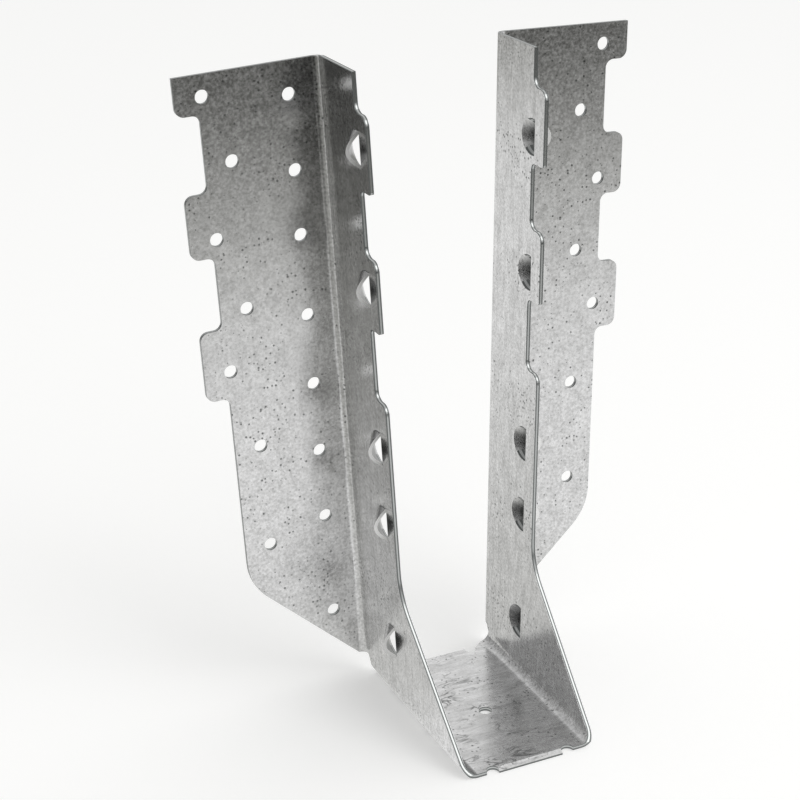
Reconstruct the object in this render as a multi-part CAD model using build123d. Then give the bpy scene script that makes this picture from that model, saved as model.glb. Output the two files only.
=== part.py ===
from build123d import *
import math
import os

# Sheet and folds
sheet = 1.5
flange_fold_radius = 2.5
seat_fold_radius = 3.5
side_lean = 2.0

# Overall sizes
overall_height = 227.0
joist_gap = 46.0
seat_front = 82.5
header_relief = 8.9

# Flange, measured outward from the middle of the hanger
tab_reach = 73.4
tab_step = 7.9
flange_foot = 6.0
foot_corner_radius = 20.0
tab_corner_radius = 3.0
tab_notch_radius = 2.8

# Levels where the edge steps in or out, measured down from the top edge
upper_tab_end = 12.7
middle_tab_start = 38.4
middle_tab_end = 59.9
lower_tab_start = 85.0
lower_tab_end = 109.5

# Side plate, measured forward from the header plane
plate_edge = 28.6
plate_step_radius = 3.3
plate_foot_radius = 0.8
plate_notch_radius = 2.2
plate_foot_rise = 0.8

# Nail holes: columns outward from the middle, rows down from the top edge
nail_hole = 4.6
hole_margin = 2.5
tab_column = 64.2
outer_column = 56.4
inner_column = 35.4
tab_rows = (7.1, 54.1, 100.2)
outer_rows = (29.3, 79.4, 129.3, 166.9)
inner_rows = (10.9, 36.0, 58.0, 86.1, 111.1, 136.1, 161.3, 199.2)

# Lanced nail guides on the side plates, rows down from the top edge, staggered from side to side
slit_setback = 30.5
guide_height = 4.6
guide_length = 12.5
guide_depth = 8.4
guide_tip_radius = 3.5
guide_wall = 1.1
slit_edge_roll = 0.5
left_guides = (24.3, 70.7, 127.1, 155.2, 201.2)
right_guides = (29.0, 75.0, 137.0, 164.0, 206.4)

# Seat
seat_hole_setback = 49.0
carrier_notch_radius = 2.2
carrier_notch_offset = 14.0
carrier_stub = 0.7
stub_roll_depth = 1.6
stub_roll_drop = 0.8
relief_start = 5.6

# Values that follow
top = overall_height - sheet
half_gap = joist_gap / 2
fold_outer = flange_fold_radius + sheet
fold_turn = 90 - side_lean
fold_tangent = seat_fold_radius * math.tan(math.radians(fold_turn / 2))
flange_start = half_gap + fold_outer
notch_reach = tab_reach - tab_step
plate_tab = plate_edge + tab_step
chamfer_top = flange_foot + notch_reach - flange_start
slope_top = seat_front - plate_tab
slope_foot = seat_front - fold_tangent
overall_depth = seat_front + carrier_stub


def outline(corners):
    """A closed outline from corners of (across, up, radius)."""
    points = [(across, up) for across, up, radius in corners]
    radii = [radius for across, up, radius in corners]
    return make_face(FilletPolyline(*points, radius=radii, close=True))


def flange_face():
    """The face nailed to the header: three tabs, then a rounded corner and a 45 degree chamfer down to the fold."""
    return outline([
        (flange_start, top, 0),
        (tab_reach, top, 0),
        (tab_reach, top - upper_tab_end, tab_corner_radius),
        (notch_reach, top - upper_tab_end, tab_notch_radius),
        (notch_reach, top - middle_tab_start, tab_notch_radius),
        (tab_reach, top - middle_tab_start, tab_corner_radius),
        (tab_reach, top - middle_tab_end, tab_corner_radius),
        (notch_reach, top - middle_tab_end, tab_notch_radius),
        (notch_reach, top - lower_tab_start, tab_notch_radius),
        (tab_reach, top - lower_tab_start, tab_corner_radius),
        (tab_reach, top - lower_tab_end, tab_corner_radius),
        (notch_reach, top - lower_tab_end, tab_notch_radius),
        (notch_reach, chamfer_top, foot_corner_radius),
        (flange_start, flange_foot, 0),
    ])


def plate_face():
    """The face beside the joist. Its front edge steps near the flange's levels, because the blanks nest in the strip."""
    upper_foot = top - middle_tab_start + plate_foot_rise
    lower_foot = top - lower_tab_start + plate_foot_rise
    return outline([
        (-fold_outer, top, 0),
        (-plate_edge, top, 0),
        (-plate_edge, top - upper_tab_end, plate_step_radius),
        (-plate_tab, top - upper_tab_end, plate_step_radius),
        (-plate_tab, upper_foot, plate_foot_radius),
        (-plate_edge, upper_foot, plate_notch_radius),
        (-plate_edge, top - middle_tab_end, plate_step_radius),
        (-plate_tab, top - middle_tab_end, plate_step_radius),
        (-plate_tab, lower_foot, plate_foot_radius),
        (-plate_edge, lower_foot, plate_notch_radius),
        (-plate_edge, top - lower_tab_end, plate_step_radius),
        (-plate_tab, top - lower_tab_end, plate_step_radius),
        (-plate_tab, slope_top, foot_corner_radius),
        (-slope_foot, fold_tangent, 0),
        (-relief_start, fold_tangent, 0),
        (-fold_outer, flange_foot, 0),
    ])


def fold_section(center, radius, start_angle, turn):
    """A slice across a fold of the given inner radius: a ring sector one sheet thick."""
    inner = CenterArc(center, radius, start_angle, turn)
    outer = CenterArc(center, radius + sheet, start_angle, turn)
    ends = [Line(inner @ 0, outer @ 0), Line(inner @ 1, outer @ 1)]
    return make_face([inner, outer, *ends])


def nail_holes():
    """The punches for the flange: every row whose hole keeps its margin above the chamfer."""
    columns = ((tab_column, tab_rows), (outer_column, outer_rows), (inner_column, inner_rows))
    punches = []
    for reach, rows in columns:
        lowest = flange_foot + max(0, reach - flange_start) + nail_hole / 2 + hole_margin
        heights = [top - row for row in rows if top - row > lowest]
        punches += [Pos(reach, -sheet / 2, height) * Rot(90, 0, 0) * Cylinder(nail_hole / 2, 4 * sheet) for height in heights]
    return punches


def guide_cone(wall, depth):
    """The punch of a guide: a cone that leans back, cut off by the slit's plane and at the given depth in the sheet.
    The slit cuts it in a round-tipped triangle, and its back line runs down to the sheet. With a wall it is the hollow.
    The outer face of the sheet is at x = 0, the slit at y = 0."""
    back_slope = math.atan(guide_height / guide_depth)
    spread = math.sqrt((guide_length / 2) ** 2 + guide_height**2 - 2 * guide_height * guide_tip_radius) / guide_height
    half_angle = math.atan((spread - math.sin(back_slope)) / math.cos(back_slope))
    ahead = guide_tip_radius / math.tan(half_angle)
    lean = back_slope + half_angle
    sink = wall / math.sin(half_angle)
    reach = 2 * (guide_length + guide_depth)
    tip_x = guide_height + ahead * math.tan(back_slope) - sink * math.sin(lean)
    tip_y = sink * math.cos(lean) - ahead
    cone = Cone(reach * math.tan(half_angle), 0, reach, align=(Align.CENTER, Align.CENTER, Align.MAX))
    cone = Pos(tip_x, tip_y, 0) * Rot(0, 0, math.degrees(lean) - 90) * Rot(0, 90, 0) * cone
    behind = Pos(-depth, 0, 0) * Box(reach, reach, 2 * reach, align=(Align.MIN, Align.MIN, Align.CENTER))
    return cone & behind


def add_guide(plate, height):
    """Draws one hood outward behind its slit, and rolls over the edge of the strip in front of the slit."""
    place = Pos(half_gap + sheet, -slit_setback, height)
    dome = place * guide_cone(0, sheet / 2)
    hollow = place * guide_cone(guide_wall, 2 * sheet)
    wedge = make_face(Polyline((0, 0), (-slit_edge_roll, 0), (0, -slit_edge_roll), close=True))
    roll_length = guide_length - 2 * guide_wall
    roll = place * Pos(0, 0, -roll_length / 2) * extrude(wedge, roll_length)
    return plate + dome - hollow - roll


def side(guide_rows):
    """The right-hand side as one folded piece: plate, flange and the fold between them, leaned outward about the seat fold."""
    plate = Pos(half_gap, 0, 0) * extrude(Plane.YZ * plate_face(), sheet)
    flange = extrude(Plane.XZ * flange_face(), sheet)
    section = fold_section((flange_start, -fold_outer), flange_fold_radius, 90, 90)
    fold = Pos(0, 0, flange_foot) * extrude(section, top - flange_foot)
    for row in guide_rows:
        height = top - row
        if height - guide_length / 2 > flange_foot:
            plate = add_guide(plate, height)
    piece = plate + fold + flange
    piece -= nail_holes()
    return piece.rotate(Axis((half_gap, 0, 0), (0, 1, 0)), side_lean)


def seat_fold():
    """The fold between the seat and the right-hand plate. The plate's front slope runs on through it to the seat's corner."""
    section = fold_section((half_gap - fold_tangent, seat_fold_radius), seat_fold_radius, -90, fold_turn)
    fold = Pos(0, -relief_start, 0) * extrude(Plane.XZ * section, seat_front - relief_start)
    lean = math.radians(side_lean)
    slope = Plane(origin=(half_gap, -seat_front, 0), z_dir=(math.sin(lean), -1, math.cos(lean)))
    return split(fold, bisect_by=slope, keep=Keep.BOTTOM)


def seat():
    """The seat: between its pairs of half-round notches a stub is left where the blank was cut from its strip."""
    edge = half_gap - fold_tangent
    shoulder = carrier_notch_offset + carrier_notch_radius
    half = [
        (0, -overall_depth),
        (carrier_notch_offset, -overall_depth),
        (carrier_notch_offset, -seat_front),
        (edge, -seat_front),
        (edge, -relief_start),
        (shoulder, -header_relief),
        (carrier_notch_offset, -header_relief),
        (carrier_notch_offset, -header_relief + carrier_stub),
        (0, -header_relief + carrier_stub),
    ]
    other = [(-x, y) for x, y in reversed(half) if x > 0]
    blank = make_face(Polyline(*half, *other, close=True))
    plan = Pos(0, 0, -sheet) * extrude(blank, sheet)
    for x in (-carrier_notch_offset, carrier_notch_offset):
        for y in (-seat_front, -header_relief):
            plan -= Pos(x, y, -sheet / 2) * Cylinder(carrier_notch_radius, 4 * sheet)
    plan -= Pos(0, -seat_hole_setback, -sheet / 2) * Cylinder(nail_hole / 2, 4 * sheet)
    lip = -overall_depth
    wedge = make_face(Polyline((lip, 0), (lip + stub_roll_depth, 0), (lip, -stub_roll_drop), close=True))
    roll = Pos(-carrier_notch_offset, 0, 0) * extrude(Plane.YZ * wedge, 2 * carrier_notch_offset)
    return plan - roll


right = side(right_guides) + seat_fold()
left = mirror(side(left_guides) + seat_fold(), about=Plane.YZ)
hanger = seat() + right + left

# The origin is on the floor under the middle of the hanger's depth, with the header plane behind it.
hanger = Pos(0, overall_depth / 2, sheet) * hanger

os.makedirs("parts", exist_ok=True)
export_step(hanger, "parts/joist_hanger.step")
print("solids", len(hanger.solids()), "volume", round(hanger.volume, 1), "box", hanger.bounding_box())
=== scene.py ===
# %% [markdown]
# # A galvanised joist hanger
#
# The object is one folded sheet of galvanised steel. Its shape comes ready made from the frame,
# so this lesson is about looks: one camera, one pale table and one careful metal. The metal has
# to show what zinc shows on the real part: a fine grain, dark pits, marks from rolling and
# bright sheared edges.

# %% Load the frame
import bpy
import math
from mathutils import Matrix, Vector

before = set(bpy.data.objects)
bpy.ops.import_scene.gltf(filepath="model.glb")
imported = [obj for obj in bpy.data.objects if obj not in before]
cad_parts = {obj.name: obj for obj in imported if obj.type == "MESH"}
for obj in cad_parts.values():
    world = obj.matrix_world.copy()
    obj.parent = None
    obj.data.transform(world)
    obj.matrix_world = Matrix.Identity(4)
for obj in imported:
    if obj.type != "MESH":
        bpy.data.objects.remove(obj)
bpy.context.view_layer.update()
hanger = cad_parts["joist_hanger"]
MM = 0.001

# %% [markdown]
# ## Four helpers
#
# Colours are easiest to choose as the hex values that a paint program shows. Blender works in
# linear light, so one function turns a hex value into linear numbers. A second function adds a
# shader node, sets its properties, and either sets each input or links it to another node. The
# third marks a part of the object: the places where several measures all lie within limits. The
# fourth lets something fade from place to place, as the product of ramps.

# %% Colour and node helpers
def linear(hex_colour):
    """An sRGB hex value as linear red, green, blue and alpha."""
    channels = [int(hex_colour[i:i + 2], 16) / 255 for i in (1, 3, 5)]
    return [c / 12.92 if c <= 0.04045 else ((c + 0.055) / 1.055) ** 2.4 for c in channels] + [1.0]


def put(tree, kind, inputs=None, **properties):
    """Adds a node of this kind. Each input gets a value, or a link if it is given a socket."""
    node = tree.nodes.new("ShaderNode" + kind)
    for name, value in properties.items():
        setattr(node, name, value)
    for name, value in (inputs or {}).items():
        if isinstance(value, bpy.types.NodeSocket):
            tree.links.new(value, node.inputs[name])
        else:
            node.inputs[name].default_value = value
    return node


def within(tree, limits):
    """A mask that is 1 where each socket lies between its low and high limit, and 0 elsewhere."""
    mask = None
    for socket, low, high in limits:
        part = put(tree, "Math", {0: socket, 1: (low + high) / 2, 2: (high - low) / 2}, operation="COMPARE")
        if mask:
            part = put(tree, "Math", {0: mask.outputs[0], 1: part.outputs[0]}, operation="MULTIPLY")
        mask = part
    return mask.outputs[0]


def fades(tree, ramps):
    """The product of ramps, each with a socket, a start, an end and its values before and after."""
    product = None
    for socket, start, end, low, high in ramps:
        part = put(tree, "MapRange", {0: socket, 1: start, 2: end, 3: low, 4: high})
        if product:
            part = put(tree, "Math", {0: product.outputs[0], 1: part.outputs[0]}, operation="MULTIPLY")
        product = part
    return product.outputs[0]


print("a middle grey in linear light:", [round(c, 3) for c in linear("#808080")])

# %% [markdown]
# ## The camera
#
# The hanger is seen from above and from its left, down the open side that takes the joist. A long
# lens about 70 cm away keeps the upright edges nearly parallel. The camera is placed from
# its three turns: which way it looks round the upright, how far it looks down, and a slight roll.

# %% Camera
CAMERA_PLACE = Vector((-0.24979, -0.51440, 0.35855))
YAW, PITCH, ROLL = (math.radians(turn) for turn in (23.573, -22.902, -1.873))
LENS = 85.022

forward = Vector((math.sin(YAW) * math.cos(PITCH), math.cos(YAW) * math.cos(PITCH), math.sin(PITCH)))
level = Vector((math.cos(YAW), -math.sin(YAW), 0))
upright = level.cross(forward)
across = math.cos(ROLL) * level + math.sin(ROLL) * upright
up = math.cos(ROLL) * upright - math.sin(ROLL) * level

camera = bpy.data.objects.new("camera", bpy.data.cameras.new("camera"))
camera.data.lens = LENS
camera.data.clip_start = 0.01
camera.matrix_world = Matrix((across, up, -forward)).transposed().to_4x4()
camera.location = CAMERA_PLACE
bpy.context.scene.collection.objects.link(camera)
bpy.context.scene.camera = camera
print("camera to hanger, metres:", round(CAMERA_PLACE.length, 3))

# %% [markdown]
# ## Table and light
#
# Bare zinc has little colour of its own: it mostly shows what stands around it. A flange seen
# from above shows the table in front of it, near the foot a near part and near the top a far
# part. So the table is pale close by and fades into a dim room in front, which makes the flanges
# dim at the top and pale at the foot. A dark spot in front on the left darkens the top of the left
# side plate. Behind the hanger the table is a little darker close by: a painted shadow of the
# hanger. These painted fades are only for rays that left a shiny surface. The camera sees the
# table as nearly white, with the hanger's soft shadow.

# %% Table
FRONT_FADE = (-0.82, -0.26)
BACK_FADE = (0.85, 1.05)
SIDE_FADE, LEFT_FADE = (-0.16, -0.04), (-0.80, -0.40)
# a painted shadow of the hanger on the table behind it, seen only by shiny rays
HANGER_SHADOW_FADE = (0.06, 0.35)
MIDDLE_FADE = (-0.03, 0.03)
DARK_SPOT, SPOT_FADE = (-0.36, -0.80, 0.0), (0.14, 0.48)
FRONT_GLOW, BACK_GLOW = 1.00, 0.93
FRONT_DIM, BACK_DIM, SIDE_DIM, LEFT_DIM, HANGER_SHADOW_DIM, SPOT_DIM = 0.05, 0.50, 0.52, 0.55, 0.74, 0.10
DIM_COLOUR = linear("#F4F4EB")
TABLE_COLOUR = linear("#EDEDEC")
TABLE_LIFT = 0.36
TABLE_SIZE = 16.0

view = bpy.context.scene.view_settings
view.view_transform = "Standard"

bpy.ops.mesh.primitive_plane_add(size=TABLE_SIZE, location=(0, 0, 0))
table = bpy.context.object
table.name = "table"

paper = bpy.data.materials.new("pale_table")
paper.use_nodes = True
tree = paper.node_tree
tree.nodes.clear()
rays = put(tree, "LightPath").outputs
spot = put(tree, "NewGeometry").outputs["Position"]
spots = put(tree, "SeparateXYZ", {0: spot}).outputs
from_spot = put(tree, "VectorMath", {0: spot, 1: DARK_SPOT}, operation="DISTANCE").outputs["Value"]
from_middle = put(tree, "VectorMath", {0: spot}, operation="LENGTH").outputs["Value"]
front = fades(tree, [
    (spots["Y"], *FRONT_FADE, FRONT_DIM, FRONT_GLOW),
    (spots["X"], *SIDE_FADE, SIDE_DIM, 1.0),
    (spots["X"], *LEFT_FADE, LEFT_DIM, 1.0),
    (from_spot, *SPOT_FADE, SPOT_DIM, 1.0),
])
# the glow behind the hanger, with a painted shadow of the hanger close by
back_glow_and_shadow = fades(tree, [
    (from_middle, *HANGER_SHADOW_FADE, HANGER_SHADOW_DIM, BACK_GLOW),
    (spots["Y"], *BACK_FADE, 1.0, BACK_DIM),
])
behind = fades(tree, [(spots["Y"], *MIDDLE_FADE, 0.0, 1.0)])
glow = put(tree, "Mix", {0: behind, 2: front, 3: back_glow_and_shadow}).outputs[0]
tint = put(tree, "Mix", {0: glow, 6: DIM_COLOUR, 7: linear("#FFFFFF")}, data_type="RGBA").outputs[2]
mirrored = put(tree, "Emission", {"Color": tint, "Strength": glow})
seen = put(tree, "Math", {0: rays["Is Camera Ray"], 1: rays["Is Transmission Ray"]}, operation="MAXIMUM")
matt = put(tree, "BsdfDiffuse", {"Color": TABLE_COLOUR})
lift = put(tree, "Math", {0: seen.outputs[0], 1: TABLE_LIFT}, operation="MULTIPLY")
white = put(tree, "Emission", {"Color": TABLE_COLOUR, "Strength": lift.outputs[0]})
plain = put(tree, "AddShader", {0: matt.outputs[0], 1: white.outputs[0]})
both = put(tree, "MixShader", {0: rays["Is Glossy Ray"], 1: plain.outputs[0], 2: mirrored.outputs[0]})
put(tree, "OutputMaterial", {"Surface": both.outputs[0]})
table.data.materials.append(paper)
print("table made, pale from", FRONT_FADE[1], "to", BACK_FADE[0], "m")

# %% [markdown]
# The room is brighter on the right, as if by a window, and dimmer on the left and near the
# level of the table. A wide lamp stands high in front on the right. It makes the sheared slopes of
# the side plates shine and gives the shadow its direction.

# %% Sky and lamp
SKY_LEFT, SKY_RIGHT = 0.46, 0.94
SKY_LEVEL = 0.40
SKY_SIDES, SKY_RISE = (-0.5, 0.4), (0.0, 0.25)
LAMP_PLACE = Vector((0.60, -0.88, 1.20))
LAMP_WIDTH = 1.0
LAMP_POWER = 4.6

world = bpy.data.worlds.new("room")
bpy.context.scene.world = world
world.use_nodes = True
tree = world.node_tree
tree.nodes.clear()
rays = put(tree, "LightPath").outputs
direction = put(tree, "SeparateXYZ", {0: put(tree, "TexCoord").outputs["Generated"]}).outputs
sky = fades(tree, [
    (direction["X"], *SKY_SIDES, SKY_LEFT, SKY_RIGHT),
    (direction["Z"], *SKY_RISE, SKY_LEVEL, 1.0),
])
strength = put(tree, "Mix", {0: rays["Is Camera Ray"], 2: sky, 3: 1.0})
room = put(tree, "Background", {"Color": linear("#FFFFFF"), "Strength": strength.outputs[0]})
put(tree, "OutputWorld", {"Surface": room.outputs[0]})

lamp = bpy.data.objects.new("lamp", bpy.data.lights.new("lamp", "AREA"))
lamp.data.size = LAMP_WIDTH
lamp.data.energy = LAMP_POWER
lamp.location = LAMP_PLACE
lamp.rotation_mode = "QUATERNION"
lamp.rotation_quaternion = (-LAMP_PLACE).to_track_quat("-Z", "Y")
bpy.context.scene.collection.objects.link(lamp)
print("lamp at", tuple(LAMP_PLACE), "with", LAMP_POWER, "W")

# %% [markdown]
# ## Hot-dip galvanised sheet
#
# The real surface is mill-galvanised sheet: strip dipped in zinc, wiped by air knives and
# lightly rolled. The eye gets a satin grey metal with a fine grain like orange peel, small dark
# pits where the coating missed, and faint marks along the strip. So the shader is a metal
# (metallic 1, default IOR) whose colour and roughness follow those patterns. They are laid
# out in the hanger's own coordinates, in real millimetres. A facing of 1 is square to an axis and
# 0.7 is turned 45 degrees from it. LOW and HIGH lie beyond every measure, where a limit is open.

# %% Coordinates and facing
LOW, HIGH = -1, 2

zinc = bpy.data.materials.new("galvanised_sheet")
zinc.use_nodes = True
tree = zinc.node_tree
tree.nodes.clear()
coords = put(tree, "TexCoord").outputs["Object"]
place = put(tree, "SeparateXYZ", {0: coords}).outputs
true_normal = put(tree, "NewGeometry").outputs["True Normal"]
normal = put(tree, "SeparateXYZ", {0: true_normal}).outputs
facing = put(tree, "VectorMath", {0: true_normal}, operation="ABSOLUTE")
facing = put(tree, "SeparateXYZ", {0: facing.outputs[0]}).outputs
sideway = put(tree, "Math", {0: place["X"]}, operation="ABSOLUTE").outputs[0]

# %% [markdown]
# The strip ran lengthwise through the mill: up one side, across the seat and up the other. Its
# marks follow it, so they are upright on the sides and run across the seat. Noise is stretched
# by scaling its coordinates: short scales where it is fine, long scales where it runs. Soft
# streaks come from the noise itself. The dark wavy veins on the seat are the lines where a
# second noise crosses its middle value, kept in patches.

# %% Marks along the strip
STREAK_WIDTH, STREAK_LENGTH = 1.8 * MM, 12 * MM
VEIN_WIDTH, VEIN_LENGTH, VEIN_LINE = 4.0 * MM, 10 * MM, 0.045
PATCH_SIZE = 11 * MM
PATCH_EDGE = (0.42, 0.58)
VEIN_DARK, VEIN_RIGHT = 0.85, 0.25
VEIN_SIDES = (-4 * MM, 8 * MM)
SEAT_TOP = 2 * MM

on_seat = within(tree, [(facing["Z"], 0.7, HIGH), (place["Z"], LOW, SEAT_TOP)])


def stretched(width, length):
    """Coordinates for a noise that is this wide and this long along the strip."""
    fine, long = 1 / width, 1 / length
    up_sides = put(tree, "VectorMath", {0: coords, 1: (fine, fine, long)}, operation="MULTIPLY")
    over_seat = put(tree, "VectorMath", {0: coords, 1: (long, fine, fine)}, operation="MULTIPLY")
    inputs = {0: on_seat, 4: up_sides.outputs[0], 5: over_seat.outputs[0]}
    return put(tree, "Mix", inputs, data_type="VECTOR").outputs[1]


streaks = put(tree, "TexNoise", {"Vector": stretched(STREAK_WIDTH, STREAK_LENGTH), "Scale": 1.0,
                                 "Detail": 3.0, "Distortion": 0.6}).outputs["Fac"]
winding = put(tree, "TexNoise", {"Vector": stretched(VEIN_WIDTH, VEIN_LENGTH), "Scale": 1.0,
                                 "Detail": 3.0, "Distortion": 0.8}).outputs["Fac"]
crossing = put(tree, "Math", {0: winding, 1: 0.5}, operation="SUBTRACT")
crossing = put(tree, "Math", {0: crossing.outputs[0]}, operation="ABSOLUTE").outputs[0]
patches = put(tree, "TexNoise", {"Vector": coords, "Scale": 1 / PATCH_SIZE, "Detail": 1.0}).outputs["Fac"]
veins = fades(tree, [
    (crossing, 0.0, VEIN_LINE, VEIN_DARK, 0.0),
    (patches, *PATCH_EDGE, 0.0, 1.0),
    (place["X"], *VEIN_SIDES, 1.0, VEIN_RIGHT),
])
marks = put(tree, "Math", {0: veins, 1: on_seat}, operation="MULTIPLY").outputs[0]
print("streaks", STREAK_WIDTH, "m wide, veins", VEIN_WIDTH, "m apart")

# %% [markdown]
# Galvanised sheet has a grain like orange peel. The real grain is about half a millimetre or less,
# too fine to show at this size, so it is drawn at 0.9 mm. Broader clouds, the mottle, come from a
# second noise. Pits are small ragged spots where the zinc missed. Voronoi cells place them, and a
# broad noise gathers them in clusters, because even dots would look printed.

# %% Grain, mottle and pits
GRAIN_SIZE = 0.9 * MM
MOTTLE_SIZE = 6 * MM
PIT_SPACING, PIT_RADIUS = 1.5 * MM, 0.42 * MM
PIT_CLUSTER = 12 * MM
PIT_RAGGED = 0.35 * MM
PIT_LOT, PIT_EDGE = (0.08, 0.50), (-0.10, 0.05)

grains = put(tree, "TexNoise", {"Vector": coords, "Scale": 1 / GRAIN_SIZE, "Detail": 2.0}).outputs
grain = grains["Fac"]
mottle = put(tree, "TexNoise", {"Vector": coords, "Scale": 1 / MOTTLE_SIZE, "Detail": 4.0}).outputs["Fac"]
ragged = put(tree, "VectorMath", {0: grains["Color"], 1: (PIT_RAGGED,) * 3}, operation="MULTIPLY")
ragged = put(tree, "VectorMath", {0: coords, 1: ragged.outputs[0]}, operation="ADD").outputs[0]
cells = put(tree, "TexVoronoi", {"Vector": ragged, "Scale": 1 / PIT_SPACING}, feature="F1")
cluster = put(tree, "TexNoise", {"Vector": coords, "Scale": 1 / PIT_CLUSTER, "Detail": 1.0})
lot = put(tree, "SeparateColor", {0: cells.outputs["Color"]})
size = put(tree, "Math", {0: lot.outputs[0], 1: cluster.outputs["Fac"]}, operation="MULTIPLY")
radius = fades(tree, [(size.outputs[0], *PIT_LOT, 0.0, PIT_RADIUS / PIT_SPACING)])
depth = put(tree, "Math", {0: cells.outputs["Distance"], 1: radius}, operation="SUBTRACT")
pits = fades(tree, [(depth.outputs[0], *PIT_EDGE, 1.0, 0.0)])
print("grain", GRAIN_SIZE, "m, pits every", PIT_SPACING, "m at most")

# %% [markdown]
# ## Sheared edges
#
# A punch leaves two bands on the edge of a sheet: a smooth bright one where it cut, and a rough
# dark one where the steel broke away. The depth in the sheet tells them apart. For the seat and
# the plates it is the distance to the joist's side of the U, whose corners are round. The plates
# lean outward, so their sideways measure is first taken back upright.

# %% Where the sheet was cut
SHEET = 1.5 * MM
LEAN = math.tan(math.radians(2.0))
FLAT, CORNER_LEVEL, CORNER_RADIUS = 19.6 * MM, 5.0 * MM, 3.5 * MM
PLATE_IN, PLATE_OUT = 22.9 * MM, 24.6 * MM
FLANGE_FRONT, FLANGE_BACK, FLANGE_START = 40.05 * MM, 41.6 * MM, 27.1 * MM
FOLD_ROOM, CORNER_ROOM = 3 * MM, 1 * MM
SLIT = 11.1 * MM
RIM_SPAN = (SLIT - 0.7 * MM, SLIT + 0.2 * MM)
BURNISH_BAND = (0.35 * MM, 0.90 * MM)
EDGE_SLACK = 0.1 * MM

leaned = put(tree, "Math", {0: place["Z"], 1: LEAN}, operation="MULTIPLY")
upright_x = put(tree, "Math", {0: sideway, 1: leaned.outputs[0]}, operation="SUBTRACT").outputs[0]
out = put(tree, "Math", {0: upright_x, 1: FLAT}, operation="SUBTRACT")
out = put(tree, "Math", {0: out.outputs[0], 1: 0.0}, operation="MAXIMUM")
down = put(tree, "Math", {0: CORNER_LEVEL, 1: place["Z"]}, operation="SUBTRACT")
down = put(tree, "Math", {0: down.outputs[0], 1: 0.0}, operation="MAXIMUM")
corner = put(tree, "CombineXYZ", {0: out.outputs[0], 1: down.outputs[0]})
corner = put(tree, "VectorMath", {0: corner.outputs[0]}, operation="LENGTH")
in_u = put(tree, "Math", {0: corner.outputs["Value"], 1: CORNER_RADIUS}, operation="SUBTRACT")
in_flange = put(tree, "Math", {0: FLANGE_BACK, 1: place["Y"]}, operation="SUBTRACT")
on_flange = within(tree, [(place["Y"], FLANGE_FRONT, HIGH)])
through = put(tree, "Mix", {0: on_flange, 2: in_u.outputs[0], 3: in_flange.outputs[0]}).outputs[0]

regions = (
    within(tree, [(facing["Y"], 0.6, HIGH), (place["Y"], LOW, FLANGE_FRONT - FOLD_ROOM)]),
    within(tree, [(facing["Y"], LOW, 0.5), (place["Y"], FLANGE_FRONT, HIGH),
                  (sideway, FLANGE_START, HIGH)]),
    within(tree, [(facing["Z"], 0.5, HIGH), (place["Z"], CORNER_LEVEL, HIGH),
                  (upright_x, PLATE_IN, PLATE_OUT)]),
    within(tree, [(facing["Z"], 0.9, HIGH), (place["Z"], 0.2, HIGH)]),
    within(tree, [(facing["Z"], LOW, 0.5), (place["Z"], LOW, SHEET), (sideway, LOW, FLAT - CORNER_ROOM)]),
)
edge = regions[0]
for region in regions[1:]:
    edge = put(tree, "Math", {0: edge, 1: region}, operation="MAXIMUM").outputs[0]
in_sheet = within(tree, [(through, -EDGE_SLACK, SHEET + EDGE_SLACK)])
edge = put(tree, "Math", {0: edge, 1: in_sheet}, operation="MULTIPLY").outputs[0]
burnish = within(tree, [(through, *BURNISH_BAND)])
# The cut rims at the mouths of the guides are painted almost white: a painted highlight for their rounded
# edges.
rim_highlight = within(tree, [(facing["Y"], 0.6, HIGH), (place["Y"], *RIM_SPAN)])
print("edge regions:", len(regions))

# %% [markdown]
# The nail guides are drawn out of the sheet by a punch. Little light gets into their hollows, so
# they are painted dark: painted shade, darker further in. A hollow is where the surface faces the
# joist but lies deeper than the sheet's joist side.

# %% Painted shade in the hollows of the guides
HOLLOW_START, HOLLOW_DEPTH = 0.1 * MM, 2.0 * MM
HOLLOW_SHADE = 0.78
PLATE_FOOT, PLATE_ROOM = 8 * MM, 6 * MM

hand = put(tree, "Math", {0: place["X"]}, operation="SIGN").outputs[0]
inward = put(tree, "Math", {0: normal["X"], 1: hand}, operation="MULTIPLY").outputs[0]
on_plate = (place["Y"], LOW, FLANGE_FRONT - PLATE_ROOM), (place["Z"], PLATE_FOOT, HIGH)
in_plate = within(tree, [(inward, -2, -0.02), *on_plate])
# painted shade in the hollows, darker deeper in
deep = fades(tree, [(through, HOLLOW_START, HOLLOW_DEPTH, 0.0, HOLLOW_SHADE)])
hollow_shade = put(tree, "Math", {0: in_plate, 1: deep}, operation="MULTIPLY").outputs[0]
print("hollows dark from", HOLLOW_DEPTH, "m")

# %% [markdown]
# ## One metal from all the marks
#
# Now the patterns become one finish. Grain, clouds and streaks blend between two greys of zinc.
# Pits and veins are darker on top of that, the hollows get painted shade, the sheared edges get
# their own greys and the rims of the guides a painted highlight. The same grain drives roughness
# and a very shallow relief, so that colour and shine change together, as they do on real zinc. One
# shader can do all of it, because the hanger is one sheet.

# %% Colour, roughness and relief
ZINC_PALE, ZINC_DULL = linear("#F1F1F1"), linear("#AEAEAD")
PIT_COLOUR = linear("#3B3D3C")
# The rims' near-white colour is a painted highlight of their rounded edges.
BURNISH_COLOUR, BREAK_COLOUR, RIM_HIGHLIGHT = linear("#B4B6B5"), linear("#767978"), linear("#F4F4F3")
ROUGH_SMOOTH, ROUGH_DULL = 0.19, 0.27
CLOUD, SOFT, SEAT_CALM, TONE_SPREAD = 0.4, 0.6, 0.6, 0.33
BURNISH_ROUGH, BREAK_ROUGH = 0.23, 0.50
FACING_FADE, FLANGE_STREAKS = (0.3, 0.7), 0.3
GRAIN_SPAN, PIT_DARK = (0.3, 0.7), 0.8
RELIEF_DEPTH, RELIEF_STRENGTH = 0.02 * MM, 0.5

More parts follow.
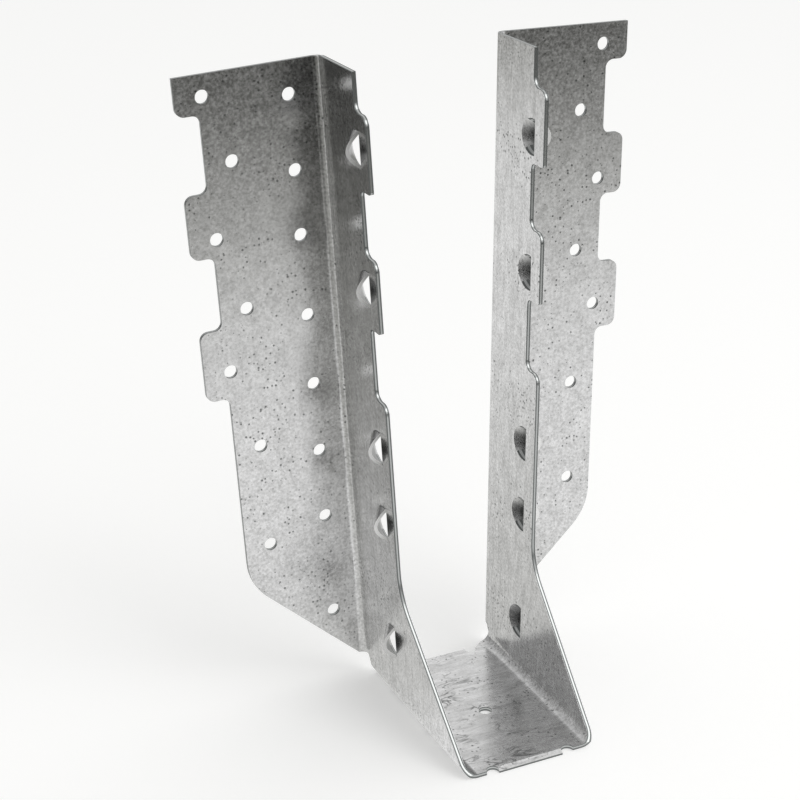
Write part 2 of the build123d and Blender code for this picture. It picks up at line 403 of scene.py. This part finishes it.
sides = fades(tree, [(facing["Y"], *FACING_FADE, 1.0, FLANGE_STREAKS)])
soft = put(tree, "Math", {0: streaks, 1: 0.5}, operation="SUBTRACT")
soft = put(tree, "Math", {0: soft.outputs[0], 1: sides}, operation="MULTIPLY")
cloud = put(tree, "Math", {0: mottle, 1: CLOUD}, operation="MULTIPLY")
calm = put(tree, "Math", {0: on_seat, 1: SEAT_CALM}, operation="MULTIPLY")
even = put(tree, "Mix", {0: calm.outputs[0], 2: grain, 3: 0.5})
blend = put(tree, "Math", {0: even.outputs[0], 1: cloud.outputs[0]}, operation="ADD")
soft = put(tree, "Math", {0: soft.outputs[0], 1: SOFT}, operation="MULTIPLY")
blend = put(tree, "Math", {0: blend.outputs[0], 1: soft.outputs[0]}, operation="ADD")
middle = 0.5 + CLOUD / 2
tone = fades(tree, [(blend.outputs[0], middle - TONE_SPREAD, middle + TONE_SPREAD, 0.0, 1.0)])
colour = put(tree, "Mix", {0: tone, 6: ZINC_DULL, 7: ZINC_PALE}, data_type="RGBA")
pit_mask = put(tree, "Math", {0: pits, 1: PIT_DARK}, operation="MULTIPLY")
# pits and veins are real marks; the hollows add painted shade
dark_marks_and_shade = put(tree, "Math", {0: pit_mask.outputs[0], 1: marks}, operation="MAXIMUM")
dark_marks_and_shade = put(tree, "Math", {0: dark_marks_and_shade.outputs[0], 1: hollow_shade}, operation="MAXIMUM")
colour = put(tree, "Mix", {0: dark_marks_and_shade.outputs[0], 6: colour.outputs[2], 7: PIT_COLOUR}, data_type="RGBA")
cut_colour = put(tree, "Mix", {0: burnish, 6: BREAK_COLOUR, 7: BURNISH_COLOUR}, data_type="RGBA")
colour = put(tree, "Mix", {0: edge, 6: colour.outputs[2], 7: cut_colour.outputs[2]}, data_type="RGBA")
colour = put(tree, "Mix", {0: rim_highlight, 6: colour.outputs[2], 7: RIM_HIGHLIGHT}, data_type="RGBA")
rough = fades(tree, [(grain, *GRAIN_SPAN, ROUGH_SMOOTH, ROUGH_DULL)])
cut_rough = put(tree, "Mix", {0: burnish, 2: BREAK_ROUGH, 3: BURNISH_ROUGH})
rough = put(tree, "Mix", {0: edge, 2: rough, 3: cut_rough.outputs[0]})
rough = put(tree, "Mix", {0: rim_highlight, 2: rough.outputs[0], 3: BREAK_ROUGH})
relief = put(tree, "Math", {0: grain, 1: pits}, operation="SUBTRACT")
bump = put(tree, "Bump", {"Height": relief.outputs[0], "Strength": RELIEF_STRENGTH,
                          "Distance": RELIEF_DEPTH})
metal = put(tree, "BsdfPrincipled", {"Base Color": colour.outputs[2], "Metallic": 1.0,
                                     "Roughness": rough.outputs[0], "Normal": bump.outputs[0]})
put(tree, "OutputMaterial", {"Surface": metal.outputs[0]})

for slot in hanger.material_slots:
    slot.material = zinc
print("material on", len(hanger.material_slots), "slots")
